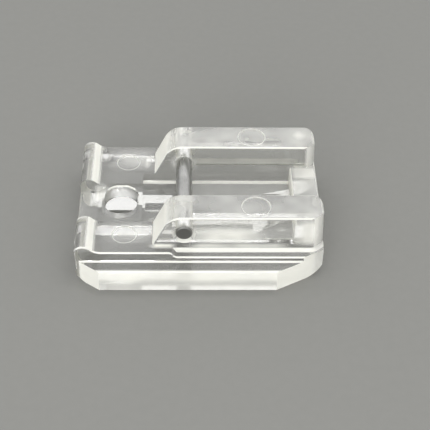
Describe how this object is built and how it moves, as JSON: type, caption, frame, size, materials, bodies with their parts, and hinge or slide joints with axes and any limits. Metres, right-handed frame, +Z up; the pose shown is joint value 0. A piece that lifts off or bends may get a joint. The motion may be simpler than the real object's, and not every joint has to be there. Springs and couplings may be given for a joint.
{
  "type": "sewing machine presser foot",
  "caption": "Clear moulded clip-on presser foot with a steel cross pin between raised rails, a side flange, a raised toe lip, an oval needle hole and a guide tunnel in the sole.",
  "frame": {"origin": "on the sole plane, under the middle of the outline", "axes": "+X from the toe to the heel, +Y away from the side flange along the cross pin, +Z up from the sole"},
  "size_m": [0.0298, 0.0216, 0.0089],
  "materials": {
    "clear_plastic": "clear, polished sole and decks, satin flanks",
    "pin_steel": "ground steel"
  },
  "bodies": {
    "root": {"foot_body": "clear_plastic", "cross_pin": "pin_steel"}
  },
  "joints": []
}
